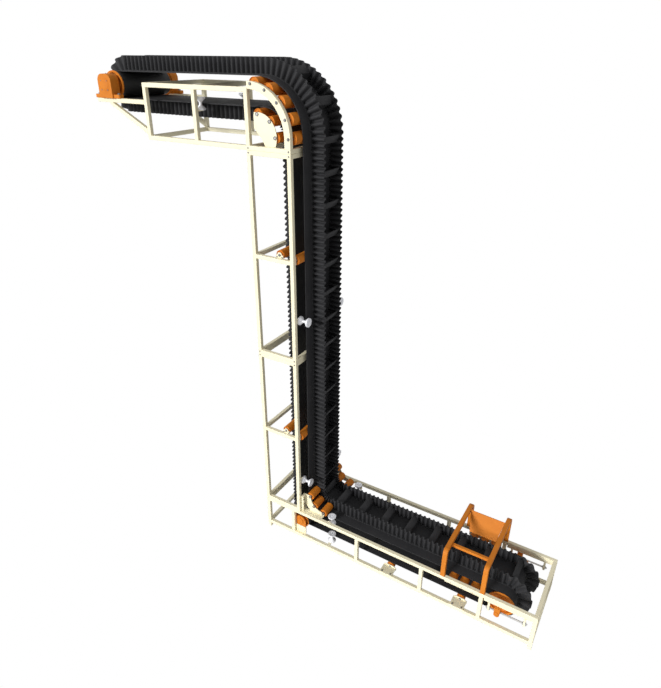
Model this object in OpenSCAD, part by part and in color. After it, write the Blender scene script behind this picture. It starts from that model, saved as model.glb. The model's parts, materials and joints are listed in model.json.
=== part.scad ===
// Steeply inclined belt conveyor: a corrugated sidewall belt with cleats runs along a lower
// frame, up a tower and over a head frame. X runs along the conveyor, Z is up, and the
// near side is -Y. Heights are measured from the underside of the lower frame.

/* [Frame] */
// Side of the square frame tubes
tube = 60; // [50:1:70]
// Distance from the belt's edge to the inner face of the frame's side
side_gap = 145; // [140:5:200]
// Height of the lower frame without its feet
lower_h = 580; // [560:5:620]
// Length of the feet under the lower frame
foot_h = 90; // [80:5:150]
// Distance from the tower's left face to the tail end of the lower frame
tail_end = 4775; // [4720:5:5200]
// Distance from the returning belt's outer face to the corner post's left face
post_gap = 20; // [0:5:50]
// Left faces of the lower frame's other posts
post_a = 1800; // [1600:10:2000]
post_b = 2955; // [2800:5:3100]
post_c = 3920; // [3860:5:3940]
// Depth of the tower over its left and right posts
tower_d = 710; // [690:5:730]
// Height of the lower tower section
low_section_h = 2940; // [2600:10:3400]
// Height of the upper tower section
high_section_h = 3030; // [2600:10:3400]
// Height of the lower section's middle bar above the section's foot
low_bar = 1485; // [1300:5:1600]
// Height of the upper section's middle bar above the section's foot
high_bar = 1545; // [1300:5:1600]
// Height of the head frame
head_h = 765; // [740:5:800]
// Reach of the head frame to the left of the tower
head_out = 1825; // [1700:5:1900]
// Left face of the head frame's middle post, to the left of the tower
head_post = 904; // [850:1:960]

/* [Belt] */
// Width of the belt
belt_w = 850; // [800:10:880]
// Thickness of the belt
belt_t = 12; // [10:1:14]
// Free edge of the belt outside each sidewall
edge_strip_w = 170; // [160:5:200]
// Height of the corrugated sidewalls
wall_h = 200; // [160:5:220]
// Width of the corrugation of a sidewall
wall_t = 60; // [50:5:70]
// Number of cleats round the belt
cleats = 65; // [32:1:65]
// Place of the first cleat along the belt, in cleat spacings
cleat_start = 0.82; // [0:0.01:0.99]
// Height of the cleats
cleat_h = 175; // [165:5:180]
// Height at which a cleat bends forward
cleat_knee = 118; // [100:2:125]
// Thickness of the cleats
cleat_t = 14; // [10:1:20]
// How far the top of a cleat reaches in the running direction
cleat_lean = 95; // [30:5:110]
// Length of a cleat's foot along the belt
cleat_foot = 56; // [40:2:70]
// Height of a cleat's foot
cleat_foot_h = 12; // [8:1:20]
// Distance from the belt's carrying face down to the top of the lower frame
carry_drop = 30; // [20:1:40]
// Distance from the tower's right face to the belt's carrying face
carry_gap = 63; // [55:1:75]
// Distance from the tower's right face to the returning belt's outer face
return_gap = 200; // [190:1:210]

/* [Bends and drums] */
// Radius of the lower bend at the belt's carrying face
low_bend_r = 325; // [315:5:345]
// Radius of the upper bend at the belt's carrying face
high_bend_r = 720; // [700:5:740]
// Height of the upper bend's centre above the foot of the head frame
bend_centre_h = 180; // [170:5:190]
// Radius of the returning belt's upper bend at its outer face
return_bend_r = 340; // [320:5:345]
// Radius of the head drum
head_drum_r = 180; // [170:1:190]
// Distance of the head drum's axis from the tower's left face
head_drum_x = 2550; // [2450:5:2560]
// Radius of the tail drum
tail_drum_r = 195; // [190:1:200]
// Distance of the tail drum's axis from the tower's left face
tail_drum_x = 4212; // [4150:2:4240]
// Radius of the corner drum
corner_drum_r = 150; // [130:1:160]
// Distance by which the head drum stands out beyond the belt's edge
head_over = 65; // [40:5:80]
// Distance by which the tail drum stands out beyond the belt's edge
tail_over = 5; // [5:5:80]
// Distance by which the corner drum stands out beyond the belt's edge
corner_over = 110; // [40:5:115]
// Distance by which the end discs stand out round the head and tail drums
disc_over = 16; // [14:1:40]
// Thickness of the end discs
disc_t = 14; // [10:1:20]
// Radius of the drum shafts
shaft_r = 35; // [25:1:40]

/* [Rollers] */
// Radius of the upper bend's rollers
bend_roller_r = 79.5; // [70:0.5:82]
// Number of the upper bend's rollers
bend_rollers = 5; // [5:1:5]
// Angle between two of the upper bend's rollers
bend_step = 21; // [18:1:21]
// Radius of the smaller rollers
roller_r = 66.5; // [55:0.5:68]
// Radius of the roller axles
axle_r = 15; // [10:1:18]
// Running gap between the belt and its rollers and drums
run_gap = 0.3; // [0.2:0.05:0.5]
// Radial clearance of an axle in its bearing
fit_gap = 0.05; // [0.02:0.01:0.1]
// Clearance between a roller's end and the piece that carries it
end_gap = 6; // [5:1:12]
// Gap between a sidewall and the stub rollers beside it
wall_gap = 8; // [6:1:15]
// Distance from the belt's edge to the lower bend's plates
bow_gap = 63; // [50:1:80]
// Length of the return rollers
return_len = 175; // [150:5:220]
// Places of the impact rollers under the hopper, from the tower's left face
impact_x = 3460; // [3430:5:3480]
// Distance between two impact rollers
impact_step = 175; // [150:5:185]
// Places of the return rollers, from the tower's left face
return_a = 2390; // [2200:10:2500]
return_b = 3610; // [3300:10:3660]
// Height of a tower roller's axis above its middle bar, on the carrying side
lift_up = 60; // [40:5:90]
// Height of a tower roller's axis above its middle bar, on the return side
lift_down = 102; // [90:2:120]

/* [Guide rollers] */
// Length of the guide rollers at the belt's edges
guide_len = 165; // [120:5:180]
// Radius of a guide roller's ends
guide_r = 70; // [50:1:75]
// Radius of a guide roller's waist
guide_core = 22; // [16:1:30]
// Clearance between a guide roller's waist and the belt's edge
guide_gap = 20; // [15:1:30]
// Width of the guide rollers' brackets
guide_arm = 50; // [40:2:60]
// Heights of the tower's guide rollers above the feet of the two tower sections
guide_low = 590; // [520:2:720]
guide_high = 653; // [400:1:800]
// Distance from the lower bend's centre to the lower frame's guide rollers
guide_run = 167; // [160:1:300]

/* [Arches, arms and plates] */
// Width of the tower rollers' bearing plates
bracket_w = 120; // [100:5:140]
// Width of the return rollers' plates
return_plate_w = 220; // [180:5:240]
// Height of the return rollers' plates above the axes
return_rim = 32; // [25:1:40]
// Length of the impact rollers' plates beyond the outer rollers' axes
impact_rim = 100; // [80:5:110]
// Depth of the impact rollers' plates below the axes
impact_drop = 40; // [30:2:50]
// Inner radius of the arches that carry the upper bend's rollers
arch_in = 567; // [555:1:580]
// Thickness of the bearing plates
plate_t = 12; // [8:1:20]
// Material round the axles in the plates
plate_rim = 25; // [22:1:40]
// Distance from the head's return rollers' circle down to the step in their plates
plate_step = 170; // [150:5:190]
// Height of the foot of those plates
plate_foot_h = 90; // [70:5:110]
// Width of the legs that hold the upper ends of the lower bend's plates
bow_leg_w = 45; // [30:1:50]
// Height of the head arms' top above the foot of the head frame
arm_top = 536; // [500:2:545]
// Distance of the head arms' end beyond the head drum's axis
arm_over = 260; // [250:5:320]
// Reach of the head arms' braces to the left of the head frame
brace_run = 665; // [500:5:700]
// Distance from a head arm's underside down to the foot of its brace
brace_drop = 330; // [200:5:360]
// Height of a brace's foot
brace_foot = 75; // [60:1:90]
// Length and thickness of the pillow blocks' feet
foot_len = 510; // [400:10:520]
foot_t = 50; // [30:5:60]
// Width of the pillow blocks' bodies
pillow_w = 280; // [200:5:300]
// Radius of the pillow blocks' upper corners
pillow_r = 95; // [60:5:95]
// Height of the pillow blocks' top above the axis
pillow_top = 155; // [120:5:170]
// Distance by which the pillow blocks stand out beyond the arms
pillow_over = 50; // [0:5:60]
// Distance by which the pillow blocks reach in from the arms
pillow_in = 45; // [20:5:50]
// Height of the corner drum's pedestals
pedestal_h = 145; // [100:5:160]
// Radius of the corner drum's bearings
corner_block_r = 108; // [60:1:115]
// Radius of the tail drum's bearings
tail_block_r = 42; // [38:1:60]
// Distance by which the tail drum's bearings stand out beyond the frame
tail_block_over = 35; // [0:5:45]

/* [Hopper] */
// Left face of the hopper's first portal, from the tower's left face
hopper_x = 3295; // [3260:5:3300]
// Height of the hopper above the lower frame
hopper_h = 525; // [400:5:600]
// Width of the hopper's portals
portal_w = 70; // [60:1:80]
// Outer radius of the portals' near bends
portal_r = 80; // [65:5:120]
// Outer radius of the portals' far bends
portal_far_r = 130; // [65:5:160]
// Thickness of the hopper's sloping plate
chute_t = 10; // [6:1:16]
// Gap between the far sidewall and the sloping plate's lower edge
chute_gap = 20; // [15:1:40]
// Distance of the sloping plate's upper edge beyond its lower edge
chute_run = 140; // [60:5:220]
// Distance by which the sloping plate narrows downwards on each side
chute_taper = 60; // [0:5:120]
// Height of the sloping plate's lower edge above the belt's sidewall
chute_low = 25; // [15:1:60]
// Width of the hopper's near bar
near_bar_w = 45; // [40:1:60]
// Distance from the portals' top down to the near bar
near_bar_drop = 25; // [0:5:60]

/* [Take-up] */
// Length of the take-up rails
rail_len = 720; // [600:10:730]
// Height of the take-up rails
rail_h = 60; // [40:5:70]
// Distance from the tail end of the frame's opening to the screws' end plates
screw_end = 126; // [100:2:140]
// Distance from the tail drum's axis to the screws' other end plates
screw_back = 150; // [120:5:160]
// Thickness of the screws' end plates
screw_plate_t = 30; // [12:2:40]
// Radius of the take-up screws
screw_r = 15; // [8:1:18]

/* [Hidden] */
$fn = 96;

// Heights of the levels
carry_z = lower_h - carry_drop;
tail_r = tail_drum_r + run_gap + belt_t;
return_z = carry_z - 2 * tail_r;
tail_z = return_z + tail_r;
tower_z = lower_h;
joint_z = tower_z + low_section_h;
head_z = joint_z + high_section_h;
low_bar_z = tower_z + low_bar;
high_bar_z = joint_z + high_bar;
high_bend_z = head_z + bend_centre_h;
top_z = high_bend_z + high_bend_r;
head_r = head_drum_r + run_gap + belt_t;
head_drum_z = top_z - head_r;
head_return_z = top_z - 2 * head_r;
arm_z = head_z + arm_top;

// Places along X
carry_x = tower_d + carry_gap;
return_x = tower_d - return_gap;
corner_post_x = return_x + post_gap;
low_bend_x = carry_x + low_bend_r;
guide_x = low_bend_x + guide_run;
low_bend_z = carry_z + low_bend_r;
high_bend_x = carry_x - high_bend_r;
return_bend_x = return_x - return_bend_r;
return_bend_z = head_return_z - return_bend_r;
corner_r = corner_drum_r + run_gap + belt_t;
corner_x = return_x + corner_r;
corner_z = return_z + corner_r;
post_r = tower_d - tube;
arch_out = tower_d - high_bend_x;

// The part's origin is under the middle of its box
reach_left = head_drum_x + head_r + wall_h;
tower_x = (reach_left - tail_end) / 2;

// Places across Y
edge_y = belt_w / 2;
in_y = edge_y + side_gap;
side_y = in_y + tube;
wall_y = edge_y - edge_strip_w;
pocket_y = wall_y - wall_t;
bow_y = edge_y + bow_gap;
guide_y = -edge_y - guide_core - guide_gap;

// Rollers
stub_in = wall_y + wall_gap;
long_stub = in_y - end_gap;
bow_stub = bow_y - end_gap;
return_stub = stub_in + return_len;
bend_axis_r = high_bend_r - belt_t - run_gap - bend_roller_r;
low_stub_r = low_bend_r - roller_r - run_gap;
return_stub_r = return_bend_r - roller_r - run_gap;
up_roller_x = carry_x - belt_t - run_gap - roller_r;
down_roller_x = return_x - run_gap - roller_r;
impact_z = carry_z - belt_t - run_gap - roller_r;
return_roller_z = return_z - run_gap - roller_r;
stub_angles = [90, 45, 0];

// Belt path: straight lengths and turns in running order from the top of the tail drum.
// A row is [length, radius, turn], with a turn to the left counted as positive.
path = [
    [tail_drum_x - low_bend_x, low_bend_r, -90],
    [high_bend_z - low_bend_z, high_bend_r, 90],
    [high_bend_x + head_drum_x, head_r, 180],
    [return_bend_x + head_drum_x, return_bend_r, -90],
    [return_bend_z - corner_z, corner_r, 90],
    [tail_drum_x - corner_x, tail_r, 180]
];
function arc_len(row) = row[1] * abs(row[2]) * PI / 180;
function row_len(row) = row[0] + arc_len(row);
function path_len(i = 0) = i >= len(path) ? 0 : row_len(path[i]) + path_len(i + 1);
function ahead(p, a, d) = [p[0] + d * cos(a), p[1] + d * sin(a)];
function swing(p, a, r, turn) =
    let (s = sign(turn), c = ahead(p, a + 90 * s, r)) ahead(c, a - 90 * s + turn, r);
// Place and heading at a distance s along the belt's outer face
function along(s, i = 0, p = [tail_drum_x, carry_z], a = 180) =
    let (row = path[i], l = row_len(row))
    s < row[0] ? [ahead(p, a, s), a] :
    s < l || i == len(path) - 1 ?
        let (t = sign(row[2]) * (s - row[0]) / row[1] * 180 / PI)
        [swing(ahead(p, a, row[0]), a, row[1], t), a + t] :
    along(s - l, i + 1, swing(ahead(p, a, row[0]), a, row[1], row[2]), a + row[2]);

// Shared shapes
module placed() { translate([tower_x, 0, foot_h]) children(); }
module bar(x0, x1, y0, y1, z0, z1) {
    translate([x0, y0, z0]) cube([x1 - x0, y1 - y0, z1 - z0]);
}
module slab_y(y0, y1) {
    translate([0, y1, 0]) rotate([90, 0, 0]) linear_extrude(y1 - y0) children();
}
module rod_y(x, z, r, y0, y1) {
    translate([x, y0, z]) rotate([-90, 0, 0]) cylinder(h = y1 - y0, r = r);
}
module both_sides() {
    children();
    mirror([0, 1, 0]) children();
}
module far_side() { mirror([0, 1, 0]) children(); }

// A side of the frame lies between the near face and the tube's inner face
module side_bar(x0, x1, z0) { bar(x0, x1, -side_y, -in_y, z0, z0 + tube); }
module side_post(x0, z0, z1) { bar(x0, x0 + tube, -side_y, -in_y, z0, z1); }
module cross_bar(x0, z0) { bar(x0, x0 + tube, -in_y, in_y, z0, z0 + tube); }

module lower_side() {
    side_bar(0, tail_end, 0);
    side_bar(0, tail_end, lower_h - tube);
    for (x = [corner_post_x, post_a, post_b, post_c]) side_post(x, 0, lower_h);
    for (x = [0, tail_end - tube]) side_post(x, -foot_h, lower_h);
}
module lower_frame_near() { color("ivory") placed() lower_side(); }
module lower_frame_far() { color("ivory") placed() far_side() lower_side(); }
module lower_cross_beams() {
    color("ivory") placed() {
        for (x = [0, tail_end - tube], z = [0, lower_h - tube]) cross_bar(x, z);
        cross_bar(post_r, lower_h - tube);
    }
}

module tower_side(z0, h, bar_z) {
    for (x = [0, post_r]) side_post(x, z0, z0 + h);
    for (z = [z0, bar_z, z0 + h - tube]) side_bar(0, tower_d, z);
}
module tower_lower_near() {
    color("ivory") placed() tower_side(tower_z, low_section_h, low_bar_z);
}
module tower_lower_far() {
    color("ivory") placed() far_side() tower_side(tower_z, low_section_h, low_bar_z);
}
module tower_upper_near() {
    color("ivory") placed() tower_side(joint_z, high_section_h, high_bar_z);
}
module tower_upper_far() {
    color("ivory") placed() far_side() tower_side(joint_z, high_section_h, high_bar_z);
}
module tower_cross_beams() {
    color("ivory") placed() {
        for (z = [tower_z, low_bar_z, joint_z - tube, joint_z, high_bar_z, head_z - tube])
            cross_bar(0, z);
        for (z = [tower_z, joint_z - tube, joint_z, head_z - tube]) cross_bar(post_r, z);
    }
}

module head_side() {
    side_bar(-head_out, tower_d, head_z);
    side_bar(-head_out, tube, head_z + head_h - tube);
    for (x = [-head_out, -head_post, 0]) side_post(x, head_z, head_z + head_h);
}
module head_frame_near() { color("ivory") placed() head_side(); }
module head_frame_far() { color("ivory") placed() far_side() head_side(); }
module head_cross_beams() {
    color("ivory") placed() {
        for (x = [-head_out, 0, post_r]) cross_bar(x, head_z);
        for (x = [-head_out, -head_post]) cross_bar(x, head_z + head_h - tube);
    }
}

// Arch: a quarter ring and a leg down to the head frame, with the bend rollers' bearings
module arch() {
    difference() {
        slab_y(-side_y, -in_y) {
            intersection() {
                translate([high_bend_x, high_bend_z]) difference() {
                    circle(r = arch_out);
                    circle(r = arch_in);
                }
                translate([tube, high_bend_z]) square([arch_out, arch_out]);
            }
            translate([high_bend_x + arch_in, head_z + tube])
                square([arch_out - arch_in, bend_centre_h - tube]);
        }
        for (i = [0 : bend_rollers - 1])
            rod_y(bend_x(i), bend_z(i), axle_r + fit_gap, -side_y - 1, -in_y + 1);
    }
}
function bend_x(i) = high_bend_x + bend_axis_r * cos(i * bend_step);
function bend_z(i) = high_bend_z + bend_axis_r * sin(i * bend_step);
module bend_arches() { color("ivory") placed() both_sides() arch(); }

// Head arm: a cantilever tube with a brace down to the head frame's left post
module head_arm() {
    brace_tip = brace_foot / 3;
    side_bar(-head_drum_x - arm_over, -head_out, arm_z - tube);
    slab_y(-side_y, -in_y) translate([-head_out, arm_z - tube]) polygon([
        [-brace_run, 0], [0, -brace_drop], [0, -brace_drop - brace_foot],
        [-brace_run - tube, -brace_tip], [-brace_run - tube, 0]
    ]);
}
module head_arms() { color("ivory") placed() both_sides() head_arm(); }

// Outline of a pillow block: an upright with rounded upper corners
module pillow_outline() {
    half = pillow_w / 2;
    top = head_drum_z + pillow_top;
    translate([-head_drum_x, 0]) {
        translate([-half, arm_z]) square([pillow_w, top - pillow_r - arm_z]);
        translate([-half + pillow_r, arm_z]) square([pillow_w - 2 * pillow_r, top - arm_z]);
        for (x = [-half + pillow_r, half - pillow_r]) translate([x, top - pillow_r]) circle(r = pillow_r);
    }
}
module pillow_block() {
    outer = -side_y - pillow_over;
    difference() {
        union() {
            bar(-head_drum_x - foot_len / 2, -head_drum_x + foot_len / 2,
                outer + pillow_over / 2, -in_y, arm_z, arm_z + foot_t);
            slab_y(outer, -in_y + pillow_in) pillow_outline();
        }
        rod_y(-head_drum_x, head_drum_z, shaft_r + fit_gap, outer - 1, -in_y + pillow_in + 1);
    }
}
module head_bearings() { color("darkorange") placed() both_sides() pillow_block(); }

// Axle holes of three stub rollers on a circle round a bend's centre
module stub_holes(x, z, r, start) {
    for (a = stub_angles)
        rod_y(x + r * cos(a + start), z + r * sin(a + start), axle_r + fit_gap,
            -side_y, -edge_y);
}
// Plate outside the return bend's rollers, standing on the head frame
module head_return_plate() {
    rim_r = return_stub_r + plate_rim;
    foot = head_z + tube - return_bend_z;
    corner = rim_r / 5;
    difference() {
        slab_y(-in_y - plate_t, -in_y) translate([return_bend_x, return_bend_z]) polygon([
            for (a = [100 : -5 : -10]) [rim_r * cos(a), rim_r * sin(a)],
            [rim_r * 0.92, foot], [rim_r * 0.38, foot], [corner, foot + plate_foot_h],
            [-corner, return_stub_r - plate_step], [-corner, return_stub_r - plate_rim]
        ]);
        stub_holes(return_bend_x, return_bend_z, return_stub_r, 0);
    }
}
module head_return_plates() { color("ivory") placed() both_sides() head_return_plate(); }
// Bow of plate outside the lower bend's rollers, on a shelf between it and the top chord,
// with a leg beside the tower's post that holds its upper end
module lower_bend_plate() {
    bow_w = plate_rim + low_bend_r / 3;
    inner = low_stub_r - plate_rim / 2;
    shelf_end = low_bend_x + plate_rim;
    shelf_z = lower_h - plate_t;
    bow_top = low_bend_z + plate_rim;
    leg_end = tower_d + bow_leg_w;
    bar(tower_d, shelf_end, -in_y, -bow_y, shelf_z, lower_h);
    bar(tower_d, leg_end, -in_y - plate_t, -in_y, lower_h + run_gap, bow_top);
    bar(tower_d, leg_end, -in_y, -bow_y, bow_top - plate_t, bow_top);
    difference() {
        slab_y(-bow_y - plate_t, -bow_y) intersection() {
            translate([low_bend_x, low_bend_z]) difference() {
                circle(r = low_stub_r + bow_w);
                circle(r = inner);
            }
            translate([tower_d, shelf_z])
                square([shelf_end - tower_d, bow_top - shelf_z]);
        }
        stub_holes(low_bend_x, low_bend_z, low_stub_r, 180);
    }
}
module lower_bend_plates() { color("ivory") placed() both_sides() lower_bend_plate(); }
// Pedestal of the corner drum beside the corner post, and the bearing on its inner face
module corner_drum_plate() {
    bar(corner_post_x + tube, corner_x + corner_block_r + plate_rim / 2, -in_y - plate_t, -in_y,
        tube, tube + pedestal_h);
}
module corner_drum_plates() { color("ivory") placed() both_sides() corner_drum_plate(); }
module corner_bearing() {
    difference() {
        slab_y(-in_y, -in_y + 2 * plate_t) translate([corner_x, 0]) {
            translate([0, corner_z]) circle(r = corner_block_r);
            translate([-corner_block_r, tube]) square([2 * corner_block_r, corner_z - tube]);
        }
        rod_y(corner_x, corner_z, shaft_r + fit_gap, -side_y, -edge_y);
    }
}
module corner_bearings() { color("darkorange") placed() both_sides() corner_bearing(); }

// Tower roller brackets: plates on the posts and bearing plates on the middle bars
module tower_brackets() {
    for (z = [low_bar_z, high_bar_z]) difference() {
        union() {
            bar(post_r - plate_t, tower_d, -in_y, -in_y + plate_t,
                z + lift_up - bracket_w / 2, z + lift_up + bracket_w / 2);
            slab_y(-in_y - plate_t, -in_y) {
                translate([down_roller_x, z + lift_down]) circle(r = bracket_w / 3);
                translate([down_roller_x - bracket_w / 2, z + tube])
                    square([bracket_w, lift_down - tube]);
            }
        }
        rod_y(up_roller_x, z + lift_up, axle_r + fit_gap, -side_y, -in_y + plate_t + 1);
        rod_y(down_roller_x, z + lift_down, axle_r + fit_gap, -side_y, -in_y + plate_t + 1);
    }
}
module tower_roller_brackets() { color("ivory") placed() both_sides() tower_brackets(); }
// Return roller stands: an upright at the roller's end and a foot out to the bottom chord
return_stand_y = return_stub + end_gap + plate_t;
module return_stand(x) {
    half = return_plate_w / 2;
    top = return_roller_z + return_rim;
    bar(x - half, x + half, -side_y, -return_stand_y, tube, tube + plate_t);
    difference() {
        slab_y(-return_stand_y, -return_stand_y + plate_t) polygon([
            [x - half, tube - return_rim], [x + half, tube - return_rim], [x + half, tube + plate_t],
            [x + half / 2, top], [x - half / 2, top], [x - half, tube + plate_t]
        ]);
        rod_y(x, return_roller_z, axle_r + fit_gap, -side_y, -return_stub);
    }
}
module return_roller_brackets() {
    color("ivory") placed() both_sides() for (x = [return_a, return_b]) return_stand(x);
}
module impact_roller_beams() {
    color("ivory") placed() both_sides() difference() {
        bar(impact_x - impact_rim, impact_x + 2 * impact_step + impact_rim, -in_y,
            -in_y + plate_t, impact_z - impact_drop, lower_h - tube / 2);
        for (i = [0 : 2])
            rod_y(impact_x + i * impact_step, impact_z, axle_r + fit_gap, -side_y,
                -in_y + plate_t + 1);
    }
}

// Take-up of the tail drum: a rail under the top chord, two end plates, a block and a screw
rail_x1 = tail_end - tube;
rail_x0 = rail_x1 - rail_len;
rail_z = lower_h - tube - rail_h;
rail_in = tube / 4;
screw_plate_in = tube / 8;
screw_x0 = tail_drum_x - screw_back;
screw_x1 = rail_x1 - screw_end;
module screw_rod(x0, x1, r) {
    translate([x0, -side_y + tube / 2, tail_z]) rotate([0, 90, 0]) cylinder(h = x1 - x0, r = r);
}
module take_up_guides() {
    color("ivory") placed() both_sides() {
        bar(rail_x0, rail_x1, -side_y + rail_in, -in_y - rail_in, rail_z, rail_z + rail_h);
        for (x = [screw_x0, screw_x1]) difference() {
            bar(x, x + screw_plate_t, -side_y + screw_plate_in, -in_y - screw_plate_in,
                tail_z - tail_block_r, rail_z);
            screw_rod(x - 1, x + screw_plate_t + 1, screw_r);
        }
    }
}
module take_up_screws() {
    color("silver") placed() both_sides() {
        screw_rod(screw_x0 - screw_plate_t, tail_drum_x - tail_block_r, screw_r);
        screw_rod(tail_drum_x + tail_block_r, screw_x1 + 2 * screw_plate_t, screw_r);
    }
}
module tail_bearings() {
    outer = -side_y - tail_block_over;
    color("darkorange") placed() both_sides() difference() {
        slab_y(outer, -in_y - rail_in) {
            translate([tail_drum_x, tail_z]) circle(r = tail_block_r);
            translate([tail_drum_x - tail_block_r, tail_z])
                square([2 * tail_block_r, rail_z - tail_z]);
        }
        rod_y(tail_drum_x, tail_z, shaft_r + fit_gap, outer - 1, -in_y + 1);
    }
}

// Hopper: two portals of bent tube on the top chords, a sloping far plate and a near bar
hopper_top = lower_h + hopper_h;
module portal_outline(d) {
    near_r = portal_r - d;
    far_r = portal_far_r - d;
    half = side_y - d;
    top = hopper_top - d;
    low = lower_h;
    translate([-half, low]) square([half, top - near_r - low]);
    translate([-half + near_r, low]) square([half, top - low]);
    translate([0, low]) square([half, top - far_r - low]);
    translate([0, low]) square([half - far_r, top - low]);
    translate([-half + near_r, top - near_r]) circle(r = near_r);
    translate([half - far_r, top - far_r]) circle(r = far_r);
}
module hopper_portal(x) {
    translate([x, 0, 0]) rotate([90, 0, 90]) linear_extrude(portal_w) difference() {
        portal_outline(0);
        portal_outline(tube);
    }
}
module hopper_portal_left() { color("darkorange") placed() hopper_portal(hopper_x); }
module hopper_portal_right() { color("darkorange") placed() hopper_portal(post_c); }
module hopper_chute() {
    x0 = hopper_x + portal_w;
    low_y = wall_y + chute_gap;
    low_z = carry_z + wall_h + chute_low;
    top_y = low_y + chute_run;
    top_z = hopper_top - chute_t;
    color("darkorange") placed() intersection() {
        translate([x0, 0, 0]) rotate([90, 0, 90]) linear_extrude(post_c - x0) polygon([
            [low_y, low_z], [low_y + chute_t, low_z], [top_y + chute_t, top_z], [top_y, top_z]
        ]);
        slab_y(low_y, top_y + chute_t) polygon([
            [x0, top_z], [post_c, top_z], [post_c - chute_taper, low_z], [x0 + chute_taper, low_z]
        ]);
    }
}
module hopper_near_bar() {
    color("darkorange") placed()
        bar(hopper_x + portal_w, post_c, -edge_y, -edge_y + near_bar_w,
            hopper_top - near_bar_drop - near_bar_w, hopper_top - near_bar_drop);
}

// Area inside the belt's outer face, grown outwards by d
module loop_area(d) {
    translate([tail_drum_x, tail_z]) circle(r = tail_r + d);
    translate([corner_x, return_z - d]) square([tail_drum_x - corner_x, 2 * (tail_r + d)]);
    translate([corner_x, corner_z]) circle(r = corner_r + d);
    translate([return_x - d, corner_z])
        square([carry_x - return_x + 2 * d, high_bend_z - corner_z]);
    difference() {
        intersection() {
            translate([high_bend_x, high_bend_z]) circle(r = high_bend_r + d);
            translate([high_bend_x, high_bend_z]) square(high_bend_r + d);
        }
        under_return_bend(return_bend_r - d);
    }
    translate([-head_drum_x, head_return_z - d])
        square([high_bend_x + head_drum_x, 2 * (head_r + d)]);
    translate([-head_drum_x, head_drum_z]) circle(r = head_r + d);
    hollow_corner(return_bend_x, return_bend_z, return_bend_r - d, 1);
    hollow_corner(low_bend_x, low_bend_z, low_bend_r - d, -1);
}
// The space outside the loop, on the hollow side of the return bend
module under_return_bend(r) {
    translate([return_bend_x, return_bend_z]) {
        circle(r = r);
        translate([-high_bend_r, 0]) square([high_bend_r, r]);
    }
}
// The corner between two runs outside a hollow bend, with side 1 to the upper right
module hollow_corner(x, z, r, side) {
    translate([x, z]) rotate(side > 0 ? 0 : 180) difference() {
        square(r + belt_t);
        circle(r = r);
    }
}
module belt_ring(d0, d1, y0, y1) {
    slab_y(y0, y1) difference() {
        loop_area(d1);
        loop_area(d0);
    }
}
module belt_base() {
    color("dimgray") placed() belt_ring(-belt_t, 0, -edge_y, edge_y);
}
module belt_wall_near() {
    color("dimgray") placed() belt_ring(0, wall_h, -wall_y, -pocket_y);
}
module belt_wall_far() {
    color("dimgray") placed() belt_ring(0, wall_h, pocket_y, wall_y);
}
// Cleat: a plate on a foot that bends forward at its top, seen along the belt with X forward
// and Y outward. It reaches into the belt, which is cut away from it.
module cleat_outline() {
    foot = cleat_foot / 2;
    half = cleat_t / 2;
    polygon([
        [-foot, -belt_t / 2], [foot, -belt_t / 2], [foot, cleat_foot_h / 2],
        [cleat_t, cleat_foot_h], [half, cleat_knee - half], [cleat_lean, cleat_h - cleat_t],
        [cleat_lean - half, cleat_h], [-half, cleat_knee + half], [-cleat_t, cleat_foot_h],
        [-foot, cleat_foot_h / 2]
    ]);
}
module belt_cleats() {
    color("dimgray") placed() slab_y(-pocket_y, pocket_y) difference() {
        for (i = [0 : cleats - 1]) {
            q = along((i + cleat_start) * path_len() / cleats);
            translate(q[0]) rotate(q[1]) mirror([0, 1]) cleat_outline();
        }
        loop_area(0);
    }
}

// Guide rollers: waisted rollers at the belt's edges, along Z before they are turned
guide_half = guide_len / 2;
belt_mid = belt_t / 2;
head_guide_x = -head_post + belt_t;
module guide_roller() {
    rotate_extrude() polygon([
        [0, -guide_half], [guide_r, -guide_half], [guide_r, -guide_half * 0.75],
        [guide_core, -guide_half * 0.2], [guide_core, guide_half * 0.2],
        [guide_r, guide_half * 0.75], [guide_r, guide_half], [0, guide_half]
    ]);
}
module guide_rollers() {
    color("silver") placed() both_sides() {
        for (z = [tower_z + guide_low, joint_z + guide_high]) translate([carry_x - belt_mid, guide_y, z])
            rotate([0, 90, 0]) guide_roller();
        for (z = [carry_z - belt_mid, return_z + belt_mid])
            translate([guide_x, guide_y, z]) guide_roller();
        translate([head_guide_x, guide_y, head_return_z + belt_mid]) guide_roller();
    }
}
module guide_arm_flat(x, z) {
    bar(x - guide_arm / 2, x + guide_arm / 2, -in_y, guide_y + guide_core, z - plate_t, z);
}
module guide_roller_brackets() {
    color("ivory") placed() both_sides() {
        for (z = [tower_z + guide_low, joint_z + guide_high])
            bar(post_r, carry_x - belt_mid - guide_half, -in_y, guide_y + guide_core,
                z - guide_arm / 2, z + guide_arm / 2);
        for (z = [carry_z - belt_mid, return_z + belt_mid]) guide_arm_flat(guide_x, z - guide_half);
        bar(guide_x - guide_arm / 2, guide_x + guide_arm / 2, -in_y, -in_y + plate_t,
            carry_z - belt_mid - guide_half - plate_t, lower_h);
        guide_arm_flat(head_guide_x, head_return_z + belt_mid - guide_half);
    }
}

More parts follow.
